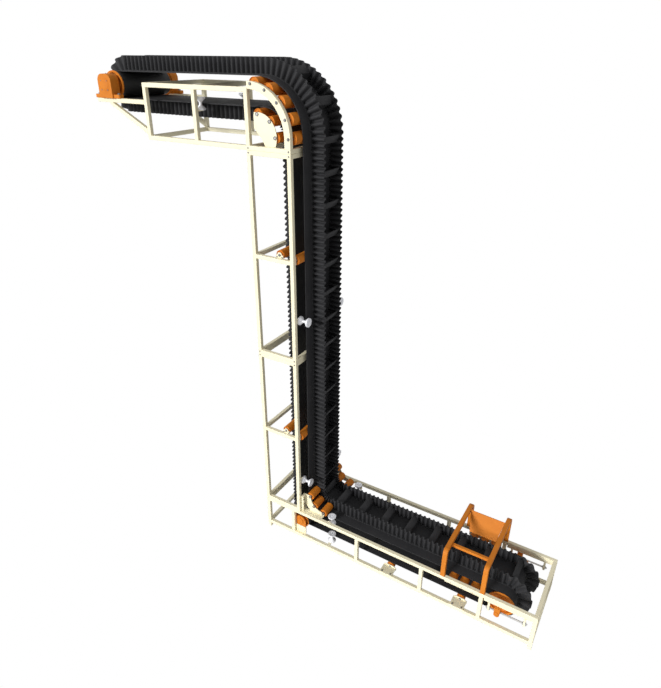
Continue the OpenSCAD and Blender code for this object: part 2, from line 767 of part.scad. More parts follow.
// Drums and rollers
module drum(x, z, r, face_y, end_y) {
    rod_y(x, z, r, -face_y, face_y);
    rod_y(x, z, shaft_r, -end_y, end_y);
}
module end_discs(x, z, r, face_y) {
    both_sides() rod_y(x, z, r + disc_over, -face_y - disc_t, -face_y);
}
module head_drum() {
    color("darkorange") placed() {
        drum(-head_drum_x, head_drum_z, head_drum_r, edge_y + head_over,
            side_y + pillow_over - end_gap);
        end_discs(-head_drum_x, head_drum_z, head_drum_r, edge_y + head_over);
    }
}
module tail_drum() {
    color("darkorange") placed() {
        drum(tail_drum_x, tail_z, tail_drum_r, edge_y + tail_over,
            side_y + tail_block_over - end_gap);
        end_discs(tail_drum_x, tail_z, tail_drum_r, edge_y + tail_over);
    }
}
module corner_drum() {
    color("darkorange") placed()
        drum(corner_x, corner_z, corner_drum_r, edge_y + corner_over, in_y);
}

// A full-width roller whose axle ends at axle_y on both sides
module long_roller(x, z, r, axle_y) {
    color("darkorange") placed() {
        rod_y(x, z, r, -in_y + plate_t + end_gap, in_y - plate_t - end_gap);
        rod_y(x, z, axle_r, -axle_y, axle_y);
    }
}
module bend_roller(i) { long_roller(bend_x(i), bend_z(i), bend_roller_r, side_y - end_gap); }
module bend_roller_1() { bend_roller(0); }
module bend_roller_2() { bend_roller(1); }
module bend_roller_3() { bend_roller(2); }
module bend_roller_4() { bend_roller(3); }
module bend_roller_5() { bend_roller(4); }

// A pair of stub rollers on the belt's free edges, with axles through the side plates
module stub_pair(x, z, outer_y, axle_y) {
    color("darkorange") placed() both_sides() {
        rod_y(x, z, roller_r, -outer_y, -stub_in);
        rod_y(x, z, axle_r, -axle_y, -stub_in);
    }
}
module head_return_roller(i) {
    a = stub_angles[i];
    stub_pair(return_bend_x + return_stub_r * cos(a), return_bend_z + return_stub_r * sin(a),
        long_stub, in_y + plate_t + end_gap);
}
module head_return_roller_1() { head_return_roller(0); }
module head_return_roller_2() { head_return_roller(1); }
module head_return_roller_3() { head_return_roller(2); }
module lower_bend_roller(i) {
    a = stub_angles[i] + 180;
    stub_pair(low_bend_x + low_stub_r * cos(a), low_bend_z + low_stub_r * sin(a),
        bow_stub, bow_y + plate_t + end_gap);
}
module lower_bend_roller_1() { lower_bend_roller(0); }
module lower_bend_roller_2() { lower_bend_roller(1); }
module lower_bend_roller_3() { lower_bend_roller(2); }

module tower_roller_1() { long_roller(up_roller_x, low_bar_z + lift_up, roller_r, in_y); }
module tower_roller_2() { long_roller(up_roller_x, high_bar_z + lift_up, roller_r, in_y); }
module tower_roller_3() {
    stub_pair(down_roller_x, low_bar_z + lift_down, long_stub, in_y + plate_t);
}
module tower_roller_4() {
    stub_pair(down_roller_x, high_bar_z + lift_down, long_stub, in_y + plate_t);
}
module impact_roller(i) {
    long_roller(impact_x + i * impact_step, impact_z, roller_r, in_y);
}
module impact_roller_1() { impact_roller(0); }
module impact_roller_2() { impact_roller(1); }
module impact_roller_3() { impact_roller(2); }
module return_roller(x) {
    stub_pair(x, return_roller_z, return_stub, return_stand_y - end_gap / 2);
}
module return_roller_1() { return_roller(return_a); }
module return_roller_2() { return_roller(return_b); }

lower_frame_near();
lower_frame_far();
lower_cross_beams();
tower_lower_near();
tower_lower_far();
tower_upper_near();
tower_upper_far();
tower_cross_beams();
head_frame_near();
head_frame_far();
head_cross_beams();
bend_arches();
head_arms();
head_bearings();
head_return_plates();
lower_bend_plates();
corner_drum_plates();
tower_roller_brackets();
return_roller_brackets();
impact_roller_beams();
take_up_guides();
take_up_screws();
tail_bearings();
corner_bearings();
hopper_portal_left();
hopper_portal_right();
hopper_chute();
hopper_near_bar();
belt_base();
belt_wall_near();
belt_wall_far();
belt_cleats();
guide_rollers();
guide_roller_brackets();
head_drum();
tail_drum();
corner_drum();
bend_roller_1();
bend_roller_2();
bend_roller_3();
bend_roller_4();
bend_roller_5();
head_return_roller_1();
head_return_roller_2();
head_return_roller_3();
lower_bend_roller_1();
lower_bend_roller_2();
lower_bend_roller_3();
tower_roller_1();
tower_roller_2();
tower_roller_3();
tower_roller_4();
impact_roller_1();
impact_roller_2();
impact_roller_3();
return_roller_1();
return_roller_2();
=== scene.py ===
"""Looks of the steeply inclined belt conveyor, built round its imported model. Metres, Z up."""
import json
import math

import bmesh
import bpy
from mathutils import Matrix, Vector


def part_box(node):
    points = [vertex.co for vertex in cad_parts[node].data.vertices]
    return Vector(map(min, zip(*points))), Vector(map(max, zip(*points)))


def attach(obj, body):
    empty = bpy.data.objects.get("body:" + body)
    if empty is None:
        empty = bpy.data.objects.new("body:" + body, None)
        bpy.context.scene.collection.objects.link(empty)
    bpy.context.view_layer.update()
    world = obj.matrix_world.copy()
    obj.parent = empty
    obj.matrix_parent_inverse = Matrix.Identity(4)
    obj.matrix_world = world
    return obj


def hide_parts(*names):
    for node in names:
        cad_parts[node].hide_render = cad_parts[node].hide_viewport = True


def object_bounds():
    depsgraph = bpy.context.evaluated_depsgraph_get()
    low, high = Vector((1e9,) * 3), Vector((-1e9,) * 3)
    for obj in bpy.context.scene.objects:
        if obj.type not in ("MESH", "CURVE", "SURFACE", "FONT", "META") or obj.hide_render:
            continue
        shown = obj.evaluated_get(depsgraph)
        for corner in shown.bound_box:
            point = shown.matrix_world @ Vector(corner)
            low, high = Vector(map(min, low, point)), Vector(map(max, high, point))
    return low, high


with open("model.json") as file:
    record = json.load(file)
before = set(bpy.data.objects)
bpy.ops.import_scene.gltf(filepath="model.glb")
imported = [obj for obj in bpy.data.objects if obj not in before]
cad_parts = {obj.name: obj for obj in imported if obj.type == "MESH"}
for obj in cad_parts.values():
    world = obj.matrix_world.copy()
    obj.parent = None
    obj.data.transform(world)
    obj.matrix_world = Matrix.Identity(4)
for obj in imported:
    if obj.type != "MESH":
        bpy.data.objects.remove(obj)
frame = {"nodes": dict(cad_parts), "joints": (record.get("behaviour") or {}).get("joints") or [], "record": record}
cad_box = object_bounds()
nodes = frame["nodes"]
axis_of = {j["child"].removesuffix("_body"): Vector(j["pos_m"]) for j in frame["joints"]}

# Camera, from the straight lines of the frame in the photograph. Its place is measured from
# the tower's left face, the frame's near face and the ground.
CAMERA_FROM_TOWER = (5.0809, -6.1924, 7.8319)
YAW, PITCH, ROLL = 31.297, -27.162, 0.261
FOCAL_PIXELS = 574.56
LONG_SIDE_PIXELS = 688
SENSOR_MM = 36

# Sizes that the model gives: the tower's left face, the frame's outer and inner faces, the
# belt's edge, and the inner and outer faces of a sidewall
tower_low, tower_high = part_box("tower_lower_near")
TOWER_X = tower_low[0]
SIDE_Y = -tower_low[1]
IN_Y = -tower_high[1]
TUBE = SIDE_Y - IN_Y
EDGE_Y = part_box("belt_base")[1][1]
POCKET_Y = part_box("belt_wall_far")[0][1]
WALL_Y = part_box("belt_wall_far")[1][1]
FLOOR_Z = cad_box[0][2]

# Sizes of the solids that rollers, bolts, nuts and welds stand against: thickness of the
# bearing plates, room beside a roller's end, height of the feet, inner face of the lower bend's
# plates, and the left faces of the posts in the lower frame and of the middle post in the head
# frame, measured from the tower's left face
PLATE = 0.012
END_GAP = 0.006
FOOT_H = 0.09
BOW_Y = EDGE_Y + 0.063
LOWER_POSTS = (0.0, 0.530, 1.800, 2.955, 3.920)
HEAD_POST = -0.904


# Path of the belt's outer face in the XZ plane, from the axes of the drums and rollers and the
# belt's box

belt_low, belt_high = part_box("belt_base")
low_bend = Vector((axis_of["lower_bend_roller_1"].x, axis_of["lower_bend_roller_3"].z))
return_bend = Vector((axis_of["head_return_roller_1"].x, axis_of["head_return_roller_3"].z))
head = Vector((axis_of["head_drum"].x, axis_of["head_drum"].z))
tail = Vector((axis_of["tail_drum"].x, axis_of["tail_drum"].z))
corner = Vector((axis_of["corner_drum"].x, axis_of["corner_drum"].z))
tail_r = belt_high[0] - tail.x
head_r = head.x - belt_low[0]
low_bend_r = low_bend.y - (tail.y + tail_r)
carry_x = low_bend.x - low_bend_r
high_bend_z = axis_of["bend_roller_1"].z
high_bend_r = belt_high[2] - high_bend_z
high_bend_x = carry_x - high_bend_r
return_bend_r = head.y - head_r - return_bend.y
corner_r = corner.y - belt_low[2]

# A row is length, radius and turn in degrees, with a turn to the left counted as positive
PATH = [
    (tail.x - low_bend.x, low_bend_r, -90),
    (high_bend_z - low_bend.y, high_bend_r, 90),
    (high_bend_x - head.x, head_r, 180),
    (return_bend.x - head.x, return_bend_r, -90),
    (return_bend.y - corner.y, corner_r, 90),
    (tail.x - corner.x, tail_r, 180),
]
PATH_LENGTH = sum(run + radius * math.radians(abs(turn)) for run, radius, turn in PATH)


def step_ahead(point, heading, distance):
    return point + Vector((math.cos(heading), math.sin(heading))) * distance


def swing(point, heading, radius, turn):
    side = math.copysign(math.pi / 2, turn)
    centre = step_ahead(point, heading + side, radius)
    return step_ahead(centre, heading - side + turn, radius)


PATH_STARTS = []
walk_point, walk_heading, walked = Vector((tail.x, tail.y + tail_r)), math.pi, 0.0
for run, radius, turn in PATH:
    PATH_STARTS.append((walked, walk_point.copy(), walk_heading))
    walk_point = step_ahead(walk_point, walk_heading, run)
    walk_point = swing(walk_point, walk_heading, radius, math.radians(turn))
    walk_heading += math.radians(turn)
    walked += run + radius * math.radians(abs(turn))


def along(distance):
    """Point and outward direction of the belt's outer face at a distance along it."""
    distance %= PATH_LENGTH
    row = max(i for i, start in enumerate(PATH_STARTS) if start[0] <= distance + 1e-9)
    start, point, heading = PATH_STARTS[row]
    run, radius, turn = PATH[row]
    rest = distance - start
    if rest <= run:
        point = step_ahead(point, heading, rest)
    else:
        angle = math.copysign((rest - run) / radius, turn)
        point = swing(step_ahead(point, heading, run), heading, radius, angle)
        heading += angle
    return point, Vector((math.sin(heading), -math.cos(heading)))


def on_belt(distance, height, y):
    point, out = along(distance)
    point = point + out * height
    return Vector((point.x, y, point.y))


# Materials

def value_node(tree, kind, **inputs):
    node = tree.nodes.new(kind)
    for name, value in inputs.items():
        node.inputs[name].default_value = value
    return node


def ramp_node(tree, factor, low, high, low_at=0.35, high_at=0.65):
    ramp = tree.nodes.new("ShaderNodeValToRGB")
    ramp.color_ramp.elements[0].position = low_at
    ramp.color_ramp.elements[0].color = low
    ramp.color_ramp.elements[1].position = high_at
    ramp.color_ramp.elements[1].color = high
    tree.links.new(factor, ramp.inputs["Fac"])
    return ramp.outputs["Color"]


def make_material(name, colour, worn, rough, metal=0.0, grain=90.0, depth=0.0002, shine=0.5):
    """Colour clouded towards a worn tone, with a fine grain that varies its roughness between
    two values and stands up by a depth."""
    material = bpy.data.materials.new(name)
    material.use_nodes = True
    tree = material.node_tree
    shader = tree.nodes["Principled BSDF"]
    shader.inputs["Metallic"].default_value = metal
    shader.inputs["Specular IOR Level"].default_value = shine
    place = tree.nodes.new("ShaderNodeTexCoord").outputs["Object"]
    cloud = value_node(tree, "ShaderNodeTexNoise", Scale=3.1, Detail=6.0, Roughness=0.62)
    fine = value_node(tree, "ShaderNodeTexNoise", Scale=grain, Detail=4.0, Roughness=0.6)
    for noise in (cloud, fine):
        tree.links.new(place, noise.inputs["Vector"])
    tint = ramp_node(tree, cloud.outputs["Fac"], (*worn, 1), (*colour, 1), 0.3, 0.62)
    tree.links.new(tint, shader.inputs["Base Color"])
    low, high = rough
    gloss = ramp_node(tree, fine.outputs["Fac"], (low, low, low, 1), (high, high, high, 1))
    tree.links.new(gloss, shader.inputs["Roughness"])
    relief = value_node(tree, "ShaderNodeBump", Strength=0.35, Distance=depth)
    tree.links.new(fine.outputs["Fac"], relief.inputs["Height"])
    tree.links.new(relief.outputs["Normal"], shader.inputs["Normal"])
    return material


CREAM = make_material("cream_paint", (0.89, 0.83, 0.61), (0.85, 0.78, 0.55), (0.46, 0.6))
ORANGE = make_material("orange_paint", (0.64, 0.20, 0.014), (0.57, 0.17, 0.011), (0.56, 0.7),
                       shine=0.28)
RUBBER = make_material("belt_rubber", (0.030, 0.030, 0.032), (0.022, 0.022, 0.024), (0.62, 0.8),
                       grain=260.0, depth=0.0005, shine=0.2)
LAGGING = make_material("drum_lagging", (0.018, 0.018, 0.019), (0.012, 0.012, 0.013),
                        (0.55, 0.75), grain=300.0, depth=0.0008)
STEEL = make_material("guide_steel", (0.90, 0.91, 0.95), (0.82, 0.83, 0.88), (0.28, 0.42),
                      metal=0.2, grain=240.0)
SHAFT = make_material("shaft_steel", (0.62, 0.61, 0.59), (0.50, 0.49, 0.47), (0.28, 0.42),
                      metal=0.55, grain=260.0)
ZINC = make_material("bolt_steel", (0.26, 0.26, 0.27), (0.18, 0.18, 0.18), (0.34, 0.5),
                     metal=0.7, grain=300.0)
DARK = make_material("seal_black", (0.02, 0.02, 0.02), (0.014, 0.014, 0.014), (0.4, 0.6))


# Making of pieces

def finish_mesh(name, bm, materials, body, replaces=(), crease=35):
    bmesh.ops.recalc_face_normals(bm, faces=bm.faces)
    mesh = bpy.data.meshes.new(name)
    bm.to_mesh(mesh)
    bm.free()
    for material in materials:
        mesh.materials.append(material)
    mesh.shade_smooth()
    mesh.set_sharp_from_angle(angle=math.radians(crease))
    piece = bpy.data.objects.new(name, mesh)
    bpy.context.scene.collection.objects.link(piece)
    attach(piece, body)
    if replaces:
        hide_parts(*replaces)


def add_lathe(bm, origin, axis, profile, segments):
    """Turned shape along an axis. A row of the profile is a distance, a radius and the
    material of the band that follows it."""
    origin, axis = Vector(origin), Vector(axis).normalized()
    side = axis.orthogonal().normalized()
    other = axis.cross(side)
    rings = []
    for distance, radius, _ in profile:
        centre = origin + axis * distance
        if radius < 1e-6:
            rings.append([bm.verts.new(centre)])
            continue
        ring = []
        for k in range(segments):
            angle = 2 * math.pi * k / segments
            spoke = side * math.cos(angle) + other * math.sin(angle)
            ring.append(bm.verts.new(centre + spoke * radius))
        rings.append(ring)
    for (_, _, paint), a, b in zip(profile, rings, rings[1:]):
        for k in range(segments):
            j = (k + 1) % segments
            if len(a) == 1 and len(b) == 1:
                continue
            if len(a) == 1:
                face = bm.faces.new((a[0], b[j], b[k]))
            elif len(b) == 1:
                face = bm.faces.new((a[k], a[j], b[0]))
            else:
                face = bm.faces.new((a[k], a[j], b[j], b[k]))
            face.material_index = paint


def painted(rows, paint=0):
    """Profile of one material, from rows of distance and radius."""
    return [(distance, radius, paint) for distance, radius in rows]


def add_bolt(bm, place, axis, size, paint=0):
    """Hexagon head on a washer, standing on the plane through its place."""
    thick, rim, top = size * 0.22, size * 0.82, size * 0.95
    washer = [(0, 0), (0, size * 1.25), (thick, size * 1.25), (thick, 0)]
    cap = [(thick, 0), (thick, size), (rim, size), (top, size * 0.8), (top, 0)]
    add_lathe(bm, place, axis, painted(washer, paint), 20)
    add_lathe(bm, place, axis, painted(cap, paint), 6)


def mirror_profile(half):
    """Whole profile of a turned shape from the half on its + side, outermost row first."""
    start = [(-distance, radius, paint) for distance, radius, paint in half]
    paints = [0] + [paint for _, _, paint in half]
    end = [(distance, radius, paint) for (distance, radius, _), paint in zip(half, paints)]
    return start + end[::-1]


# Belt: corrugated sidewalls with their feet, and cleats. A cleat stands up to its knee and
# leans ahead from there. Its start is how far along the belt the first one is, in pitches.

CORRUGATIONS = 348
WAVE_SAMPLES = 10
FOOT_SAMPLES = 460
SHEET = 0.0075
WALL_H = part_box("belt_wall_near")[1][2] - belt_high[2]
CLEATS = 65
CLEAT_START = 0.82
CLEAT_H = 0.175
CLEAT_KNEE = 0.118
CLEAT_T = 0.014
CLEAT_LEAN = 0.095


def make_sidewall(name, side):
    middle = side * (POCKET_Y + WALL_Y) / 2
    reach = (WALL_Y - POCKET_Y) / 2 - SHEET / 2 - 0.001
    count = CORRUGATIONS * WAVE_SAMPLES
    pitch = PATH_LENGTH / CORRUGATIONS
    heights = (-0.002, WALL_H * 0.5, WALL_H - 0.004)
    bm = bmesh.new()
    rows = []
    for i in range(count):
        phase = 2 * math.pi * i / WAVE_SAMPLES
        wave = math.sin(phase)
        # A sine with flattened crests, its slope, and the sheet's half thickness square to it
        offset = wave * (1.3 - 0.3 * wave * wave)
        y = middle + reach * offset
        slope = math.cos(phase) * (1.3 - 0.9 * wave * wave) * reach * 2 * math.pi / pitch
        length = math.hypot(1, slope)
        ahead, across = -slope / length * SHEET / 2, SHEET / 2 / length
        distance = i * PATH_LENGTH / count
        row = [on_belt(distance + ahead, height, y + across) for height in heights]
        row.append(on_belt(distance, WALL_H, y))
        row += [on_belt(distance - ahead, height, y - across) for height in reversed(heights)]
        rows.append([bm.verts.new(spot) for spot in row])
    for i in range(count):
        a, b = rows[i], rows[(i + 1) % count]
        for k in range(len(a) - 1):
            bm.faces.new((a[k], a[k + 1], b[k + 1], b[k]))
    # The flat foot that joins the corrugation to the belt
    section = [(-0.034, -0.001), (-0.031, 0.004), (0.031, 0.004), (0.034, -0.001)]
    feet = []
    for i in range(FOOT_SAMPLES):
        distance = i * PATH_LENGTH / FOOT_SAMPLES
        feet.append([bm.verts.new(on_belt(distance, z, middle + y)) for y, z in section])
    for i in range(FOOT_SAMPLES):
        a, b = feet[i], feet[(i + 1) % FOOT_SAMPLES]
        for k in range(len(section) - 1):
            bm.faces.new((a[k], a[k + 1], b[k + 1], b[k]))
    node = "belt_wall_near" if side < 0 else "belt_wall_far"
    finish_mesh(name, bm, [RUBBER], "frame", [node], crease=50)


def cleat_section():
    """Outline of a cleat, seen across the belt: distance ahead and height."""
    half = CLEAT_T / 2
    bend = 0.012
    slope = math.atan2(CLEAT_H - half - CLEAT_KNEE, CLEAT_LEAN)
    front = [(0.028, -0.004), (0.028, 0.004), (0.016, 0.009), (half, 0.022)]
    back = [(-half, 0.022), (-0.016, 0.009), (-0.028, 0.004), (-0.028, -0.004)]
    inner, outer = [], []
    for i in range(5):
        turn = (math.pi / 2 - slope) * i / 4
        run, rise = bend * math.cos(turn), bend * math.sin(turn)
        inner.append((half + bend - run, CLEAT_KNEE - half - 0.010 + rise))
        outer.append((0.005 - run, CLEAT_KNEE - 0.004 + rise))
    lip = CLEAT_H - CLEAT_T
    tip = [(CLEAT_LEAN - 0.001, lip + 0.001), (CLEAT_LEAN, lip + 0.004),
           (CLEAT_LEAN - half + 0.001, CLEAT_H - 0.001),
           (CLEAT_LEAN - half - 0.002, CLEAT_H - 0.0008)]
    return front + inner + tip + outer[::-1] + back


def make_cleats():
    bm = bmesh.new()
    section = cleat_section()
    half = POCKET_Y + 0.001
    for i in range(CLEATS):
        point, out = along((i + CLEAT_START) * PATH_LENGTH / CLEATS)
        ahead = Vector((-out.y, out.x))
        ends = []
        for y in (-half, -half + 0.004, half - 0.004, half):
            inset = 0.0015 if abs(y) == half else 0.0
            ring = []
            for d, h in section:
                spot = point + ahead * d + out * (h - inset)
                ring.append(bm.verts.new((spot.x, y, spot.y)))
            ends.append(ring)
        for a, b in zip(ends, ends[1:]):
            for k in range(len(section)):
                j = (k + 1) % len(section)
                bm.faces.new((a[k], a[j], b[j], b[k]))
        bm.faces.new(ends[0])
        bm.faces.new(ends[-1])
    finish_mesh("cleats", bm, [RUBBER], "frame", ["belt_cleats"])


make_sidewall("sidewall_near", -1)
make_sidewall("sidewall_far", 1)
make_cleats()


# Drums and rollers

DRUM_SHAFT = 0.035
DRUM_RECESS = 0.05
DISC_OVER = 0.016
AXLE = 0.015
ROLLER_R = 0.0665
BEND_ROLLER_R = 0.0795
LONG_FACE = IN_Y - PLATE - END_GAP
STUB_IN = WALL_Y + 0.008
LONG_STUB = IN_Y - END_GAP
BOW_STUB = BOW_Y - END_GAP
RETURN_STUB = STUB_IN + 0.175


def box_half_y(node):
    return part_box(node)[1][1]


def make_drum(node, radius, face_y, lagged_y, disc=0.0):
    """Drum with recessed ends, hub and shaft, and a smooth rubber lagging between its end
    bands. Its end discs, where it has them, stand out by disc."""
    end = box_half_y(node)
    rim = radius + disc
    web = face_y - DRUM_RECESS
    half = [
        (end, 0.0, 2), (end, DRUM_SHAFT - 0.003, 2), (end - 0.003, DRUM_SHAFT, 2),
        (web + 0.022, DRUM_SHAFT, 0), (web + 0.022, DRUM_SHAFT + 0.035, 0),
        (web + 0.004, DRUM_SHAFT + 0.045, 0), (web, DRUM_SHAFT + 0.050, 0),
        (web, radius - 0.024, 0), (web + 0.006, radius - 0.016, 0),
        (face_y - 0.002, radius - 0.014, 0), (face_y, radius - (0.010 if disc else 0.012), 0),
        (face_y, rim - 0.002, 0), (face_y - 0.002, rim, 0),
    ]
    if disc:
        half += [(face_y - 0.012, rim, 0), (face_y - 0.014, rim - 0.002, 0),
                 (face_y - 0.014, radius, 0)]
    half += [(lagged_y, radius, 1)]
    bm = bmesh.new()
    add_lathe(bm, axis_of[node], (0, 1, 0), mirror_profile(half), 64)
    finish_mesh(node + "_shell", bm, [ORANGE, LAGGING, SHAFT], node + "_body",
                [node])


def outer_end(radius, face_y, end_y):
    """Outer end of a roller, from the tip of its axle to its face, as rows of a profile whose
    material is that of the band towards the roller."""
    return [
        (end_y, 0.0, 1), (end_y, AXLE - 0.002, 1), (end_y - 0.002, AXLE, 1),
        (face_y - 0.014, AXLE, 2), (face_y - 0.014, AXLE * 1.9, 0),
        (face_y - 0.006, AXLE * 2.0, 0), (face_y - 0.006, AXLE * 2.6, 0),
        (face_y - 0.012, AXLE * 2.9, 0), (face_y - 0.012, radius - 0.008, 0),
        (face_y, radius - 0.005, 0), (face_y, radius - 0.002, 0), (face_y - 0.002, radius, 0),
    ]


def make_roller(node, radius):
    bm = bmesh.new()
    half = outer_end(radius, LONG_FACE, box_half_y(node))
    add_lathe(bm, axis_of[node], (0, 1, 0), mirror_profile(half), 40)
    finish_mesh(node + "_shell", bm, [ORANGE, SHAFT, DARK], node + "_body",
                [node])


def make_stub_pair(node, outer_y):
    """Two short rollers, each with its inner end beside the belt's sidewall."""
    radius = ROLLER_R
    inner = [
        (STUB_IN, 0.0, 1), (STUB_IN, AXLE, 2), (STUB_IN, AXLE * 1.9, 0),
        (STUB_IN + 0.003, AXLE * 2.2, 0), (STUB_IN + 0.003, radius - 0.008, 0),
        (STUB_IN, radius - 0.005, 0), (STUB_IN, radius - 0.002, 0), (STUB_IN + 0.002, radius, 0),
    ]
    half = outer_end(radius, outer_y, box_half_y(node))
    outer = mirror_profile(half)[len(half):]
    bm = bmesh.new()
    for side in (-1, 1):
        add_lathe(bm, axis_of[node], (0, side, 0), inner + outer, 40)
    finish_mesh(node + "_shells", bm, [ORANGE, SHAFT, DARK], node + "_body",
                [node])


make_drum("head_drum", 0.180, EDGE_Y + 0.079, lagged_y=EDGE_Y + 0.045, disc=DISC_OVER)
make_drum("tail_drum", 0.195, EDGE_Y + 0.019, lagged_y=EDGE_Y + 0.005, disc=DISC_OVER)
make_drum("corner_drum", 0.150, EDGE_Y + 0.110, lagged_y=EDGE_Y + 0.109)
for i in range(1, 6):
    make_roller(f"bend_roller_{i}", BEND_ROLLER_R)
for node in ("tower_roller_1", "tower_roller_2",
             "impact_roller_1", "impact_roller_2", "impact_roller_3"):
    make_roller(node, ROLLER_R)
for i in range(1, 4):
    make_stub_pair(f"head_return_roller_{i}", LONG_STUB)
    make_stub_pair(f"lower_bend_roller_{i}", BOW_STUB)
for node in ("tower_roller_3", "tower_roller_4"):
    make_stub_pair(node, LONG_STUB)
for node in ("return_roller_1", "return_roller_2"):
    make_stub_pair(node, RETURN_STUB)


# Looks of the solids that stay

by_slot = {"cream_paint": CREAM, "orange_paint": ORANGE, "belt_rubber": RUBBER,
           "guide_steel": STEEL}
for row in frame["record"]["subparts"]:
    node = nodes[row["node"]]
    node.data.materials.clear()
    node.data.materials.append(by_slot[row["material_slot"]])


def soften(node, width):
    """Rounded edges on a solid that stays, so that its edges catch the light."""
    weld = node.modifiers.new("weld", "WELD")
    weld.merge_threshold = 0.0001
    flat = node.modifiers.new("flat", "DECIMATE")
    flat.decimate_type = "DISSOLVE"
    flat.angle_limit = math.radians(0.5)
    bevel = node.modifiers.new("bevel", "BEVEL")
    bevel.width = width
    bevel.segments = 2
    bevel.limit_method = "ANGLE"
    bevel.angle_limit = math.radians(40)


TUBE_ROUND = 0.006
PLATE_ROUND = 0.002
TUBE_NODES = [
    "lower_frame_near", "lower_frame_far", "lower_cross_beams", "tower_lower_near",
    "tower_lower_far", "tower_upper_near", "tower_upper_far", "tower_cross_beams",
    "head_frame_near", "head_frame_far", "head_cross_beams", "head_arms", "bend_arches",
    "hopper_portal_left", "hopper_portal_right", "head_bearings",
]
PLATE_NODES = [
    "head_return_plates", "lower_bend_plates", "corner_drum_plates", "tower_roller_brackets",
    "return_roller_brackets", "impact_roller_beams", "take_up_guides", "corner_bearings",
    "tail_bearings", "hopper_chute", "hopper_near_bar", "guide_roller_brackets",
]
for name in TUBE_NODES:
    soften(nodes[name], TUBE_ROUND)
for name in PLATE_NODES:
    soften(nodes[name], PLATE_ROUND)


# Guide rollers: turned, waisted rollers at the belt's edges. Two pairs are placed by their
# heights above the feet of the tower's sections, two by their way past the lower bend's centre,
# and one by its way ahead of the tower's left face.

GUIDE_HALF, GUIDE_CORE, GUIDE_RIM = 0.0825, 0.022, 0.070
GUIDE_GAP = 0.020
GUIDE_OFF_BELT = 0.006
GUIDE_LOW, GUIDE_HIGH = 0.590, 0.653
GUIDE_RUN = 0.167
GUIDE_HEAD = 0.892


def make_guide_rollers():
    guide_y = EDGE_Y + GUIDE_CORE + GUIDE_GAP
    tower_x = carry_x - GUIDE_OFF_BELT
    run_x = low_bend.x + GUIDE_RUN
    belt_z = tail.y + tail_r
    upright, level = (1, 0, 0), (0, 0, 1)
    spots = [
        (tower_x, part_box("tower_lower_near")[0][2] + GUIDE_LOW, upright),
        (tower_x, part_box("tower_upper_near")[0][2] + GUIDE_HIGH, upright),
        (run_x, belt_z - GUIDE_OFF_BELT, level),
        (run_x, belt_z - 2 * tail_r + GUIDE_OFF_BELT, level),
        (TOWER_X - GUIDE_HEAD, head.y - head_r + GUIDE_OFF_BELT, level),
    ]
    half, core, rim = GUIDE_HALF, GUIDE_CORE, GUIDE_RIM
    profile = [
        (-half, 0, 1), (-half, 0.013, 0), (-half + 0.004, 0.013, 0), (-half + 0.004, 0.030, 0),
        (-half, 0.034, 0), (-half, rim - 0.003, 0), (-half + 0.003, rim, 0),
        (-half * 0.76, rim, 0), (-half * 0.74, rim - 0.002, 0), (-half * 0.22, core + 0.001, 0),
        (-half * 0.18, core, 0),
    ]
    profile += [(-distance, radius, 0) for distance, radius, _ in reversed(profile)]
    bm = bmesh.new()
    for x, z, axis in spots:
        for side in (-1, 1):
            add_lathe(bm, (x, side * guide_y, z), axis, profile, 36)
    finish_mesh("guide_roller_shells", bm, [STEEL, SHAFT], "frame",
                ["guide_rollers"])


make_guide_rollers()


# Hardware: bolts, nuts, caps, threads and welds

# Sizes of the bolts' heads, and their places from the axis, edge or face that they sit by
AXLE_BOLT, BEAM_BOLT, STAND_BOLT, SMALL_BOLT = 0.017, 0.015, 0.012, 0.009
PILLOW_BOLT, PEDESTAL_BOLT, CHUTE_BOLT = 0.020, 0.010, 0.008
AXLE_NUT_HOLE, AXLE_NUT, AXLE_NUT_H = 0.0165, 0.026, 0.012
ON_FACE = 0.0005
BRACKET_BOLT_X, BRACKET_BOLT_Z = 0.045, 0.030
STAND_BOLT_X = 0.075
PILLOW_BOLT_X, PILLOW_BOLT_Y, PILLOW_BASE = 0.205, 0.045, 0.05
CORNER_BOLT_RING, CAP_SCREW_RING = 0.088, 0.087
PLATE_BOLT_IN = 0.035
JOINT_BOLT_Z = 0.03

# Sizes of the take-up's screws and of the welds
SCREW_R, SCREW_NUT, SCREW_NUT_H = 0.015, 0.026, 0.011
THREAD_PITCH, THREAD_DEPTH = 0.005, 0.0022
SCREW_PLATE, SCREW_PLATE_IN = 0.030, 0.126
TAIL_BLOCK_R = 0.042
WELD_R, FACE_WELD_R = 0.0035, 0.0026
WELD_IN = 0.004


def add_nut(bm, place, axis, hole, size, height):
    """Ring with flat sides round a shaft, standing on the plane through its place."""
    rows = [(0, hole), (0, size), (height * 0.8, size), (height, size * 0.9), (height, hole),
            (0, hole)]
    add_lathe(bm, place, axis, painted(rows), 6)


def add_bead(bm, start, end, radius=WELD_R, paint=0):
    """Weld bead: a rippled rod along a corner."""
    start, end = Vector(start), Vector(end)
    length = (end - start).length
    count = max(4, int(length / 0.008))
    rows = [(0, 0)]
    for i in range(count + 1):
        ripple = 1.0 + 0.16 * math.sin(i * 2.4) + 0.08 * math.sin(i * 5.1 + 1)
        rows.append((length * i / count, radius * ripple))
    rows.append((length, 0))
    add_lathe(bm, start, end - start, painted(rows, paint), 6)


def in_box(node):
    low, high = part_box(node)
    return Vector(low), Vector(high)


